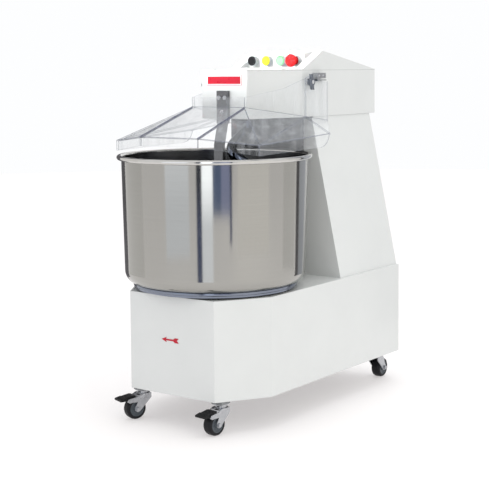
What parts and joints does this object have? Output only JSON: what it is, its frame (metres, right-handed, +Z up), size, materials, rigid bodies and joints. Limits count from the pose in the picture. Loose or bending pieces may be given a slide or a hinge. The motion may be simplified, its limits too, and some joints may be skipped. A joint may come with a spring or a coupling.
{
  "type": "spiral dough mixer",
  "caption": "Floor-standing fixed-head spiral dough mixer on castors: white sheet-metal body, turning stainless bowl, spiral hook, breaker bar, hinged clear guard and four push buttons",
  "frame": {"origin": "centre of the bounding box at floor level", "axes": "+X right, +Y rear (the bowl is at -Y, the front), +Z up"},
  "size_m": [0.5769, 0.981, 1.079],
  "materials": {
    "paint": "satin white powder coat",
    "frame_paint": "semi-gloss grey enamel",
    "steel": "spun and brushed stainless",
    "polished": "polished stainless",
    "dark_steel": "oiled dark steel",
    "cast": "machined casting",
    "zinc": "bright zinc plated",
    "chromed": "chrome plated",
    "clear": "clear formed sheet",
    "badge_red": "glossy red film",
    "black_rubber": "matte black rubber",
    "tyre_black": "hard black tread on a grey plastic core",
    "black_plastic": "moulded black",
    "grey_plastic": "moulded light grey",
    "yellow_plastic": "glossy yellow",
    "green_plastic": "glossy green",
    "red_plastic": "glossy red",
    "motor_paint": "blue-grey enamel"
  },
  "bodies": {
    "frame": {"base_shell": "paint", "base_rear_panel": "paint", "chassis_frame": "frame_paint", "column_shell": "paint", "rear_cover": "paint", "head_shell": "paint", "nose_cover": "paint", "head_cover": "paint", "cover_screws": "steel", "name_badge": "badge_red", "direction_arrow": "badge_red", "bowl_housing": "cast", "spiral_housing": "cast", "breaker_bar": "steel", "breaker_bar_bolts": "polished", "splash_shield": "steel", "guard_pivots": "steel", "guard_buffer": "black_rubber", "limit_switch": "grey_plastic", "button_bezels": "chromed", "motor_body": "motor_paint", "motor_mount": "frame_paint", "spiral_belt": "black_rubber", "motor_belt": "black_rubber", "jackshaft_housing": "cast", "bowl_chain": "dark_steel", "electrical_box": "grey_plastic", "cable_gland": "black_plastic", "castor_plates": "zinc"},
    "bowl": {"bowl": "steel", "bowl_rim": "steel", "bowl_base": "steel", "bowl_foot_ring": "dark_steel", "bowl_turntable": "dark_steel", "bowl_shaft": "steel", "bowl_sprocket": "dark_steel"},
    "spiral": {"spiral_hook": "polished", "spiral_shaft": "polished", "spiral_pulley": "cast"},
    "motor_rotor": {"motor_shaft": "steel", "motor_pulleys": "cast"},
    "jack": {"jackshaft": "steel"},
    "guard": {"guard_shell": "clear", "guard_knobs": "dark_steel"},
    "lever": {"switch_lever": "dark_steel"},
    "button_black_body": {"button_black": "black_plastic"},
    "button_yellow_body": {"button_yellow": "yellow_plastic"},
    "button_green_body": {"button_green": "green_plastic"},
    "button_stop_body": {"button_stop": "red_plastic"},
    "fork_fl": {"castor_fork_fl": "zinc"},
    "wheel_fl": {"castor_wheel_fl": "tyre_black"},
    "fork_fr": {"castor_fork_fr": "zinc"},
    "wheel_fr": {"castor_wheel_fr": "tyre_black"},
    "fork_rl": {"castor_fork_rl": "zinc"},
    "wheel_rl": {"castor_wheel_rl": "tyre_black"},
    "fork_rr": {"castor_fork_rr": "zinc"},
    "wheel_rr": {"castor_wheel_rr": "tyre_black"},
    "pedal_fl": {"brake_pedal_fl": "black_plastic"},
    "pedal_fr": {"brake_pedal_fr": "black_plastic"}
  },
  "joints": [
    {"name": "bowl_spin", "type": "hinge", "parent": "frame", "child": "bowl", "pos_m": [0, -0.202, 0.5], "axis": [0, 0, 1], "continuous": true},
    {"name": "spiral_spin", "type": "hinge", "parent": "frame", "child": "spiral", "pos_m": [0, -0.037, 0.9], "axis": [0, 0, 1], "continuous": true},
    {"name": "motor_spin", "type": "hinge", "parent": "frame", "child": "motor_rotor", "pos_m": [0, 0.29, 0.6], "axis": [0, 0, 1], "continuous": true},
    {"name": "jack_spin", "type": "hinge", "parent": "frame", "child": "jack", "pos_m": [0.095, 0.07, 0.3], "axis": [0, 0, 1], "continuous": true},
    {"name": "guard_hinge", "type": "hinge", "parent": "frame", "child": "guard", "pos_m": [0, 0.0835, 0.983], "axis": [-1, 0, 0], "range_deg": [0, 70]},
    {"name": "lever_swing", "type": "hinge", "parent": "frame", "child": "lever", "pos_m": [0.1485, 0.122, 0.988], "axis": [1, 0, 0], "range_deg": [0, 4], "stiffness_Nm_per_rad": 0.2, "springref_deg": -1.15},
    {"name": "press_black", "type": "slide", "parent": "frame", "child": "button_black_body", "axis": [0, 1, 0], "range_m": [0, 0.005], "stiffness_N_per_m": 450, "springref_m": -0.001},
    {"name": "press_yellow", "type": "slide", "parent": "frame", "child": "button_yellow_body", "axis": [0, 1, 0], "range_m": [0, 0.005], "stiffness_N_per_m": 450, "springref_m": -0.001},
    {"name": "press_green", "type": "slide", "parent": "frame", "child": "button_green_body", "axis": [0, 1, 0], "range_m": [0, 0.005], "stiffness_N_per_m": 450, "springref_m": -0.001},
    {"name": "press_stop", "type": "slide", "parent": "frame", "child": "button_stop_body", "axis": [0, 1, 0], "range_m": [0, 0.005], "stiffness_N_per_m": 450, "springref_m": -0.001},
    {"name": "swivel_fl", "type": "hinge", "parent": "frame", "child": "fork_fl", "pos_m": [-0.145, -0.372, 0.078], "axis": [0, 0, 1], "continuous": true},
    {"name": "roll_fl", "type": "hinge", "parent": "fork_fl", "child": "wheel_fl", "pos_m": [-0.15458, -0.39831, 0.0315], "axis": [0.9397, -0.342, 0], "continuous": true},
    {"name": "swivel_fr", "type": "hinge", "parent": "frame", "child": "fork_fr", "pos_m": [0.145, -0.372, 0.078], "axis": [0, 0, 1], "continuous": true},
    {"name": "roll_fr", "type": "hinge", "parent": "fork_fr", "child": "wheel_fr", "pos_m": [0.14207, -0.39985, 0.0315], "axis": [0.9945, -0.1045, 0], "continuous": true},
    {"name": "swivel_rl", "type": "hinge", "parent": "frame", "child": "fork_rl", "pos_m": [-0.18, 0.425, 0.078], "axis": [0, 0, 1], "continuous": true},
    {"name": "roll_rl", "type": "hinge", "parent": "fork_rl", "child": "wheel_rl", "pos_m": [-0.17853, 0.45296, 0.0315], "axis": [-0.9986, 0.0523, 0], "continuous": true},
    {"name": "swivel_rr", "type": "hinge", "parent": "frame", "child": "fork_rr", "pos_m": [0.18, 0.425, 0.078], "axis": [0, 0, 1], "continuous": true},
    {"name": "roll_rr", "type": "hinge", "parent": "fork_rr", "child": "wheel_rr", "pos_m": [0.17853, 0.45296, 0.0315], "axis": [-0.9986, -0.0523, 0], "continuous": true},
    {"name": "brake_fl", "type": "hinge", "parent": "fork_fl", "child": "pedal_fl", "pos_m": [-0.16347, -0.42274, 0.059], "axis": [0.9397, -0.342, 0], "range_deg": [0, 12]},
    {"name": "brake_fr", "type": "hinge", "parent": "fork_fr", "child": "pedal_fr", "pos_m": [0.13936, -0.4257, 0.059], "axis": [0.9945, -0.1045, 0], "range_deg": [0, 12]}
  ],
  "couplings": [
    {"joint": "jack_spin", "follows": "bowl_spin", "ratio": 8.25},
    {"joint": "motor_spin", "follows": "bowl_spin", "ratio": 28.188},
    {"joint": "spiral_spin", "follows": "bowl_spin", "ratio": 9.5014}
  ]
}
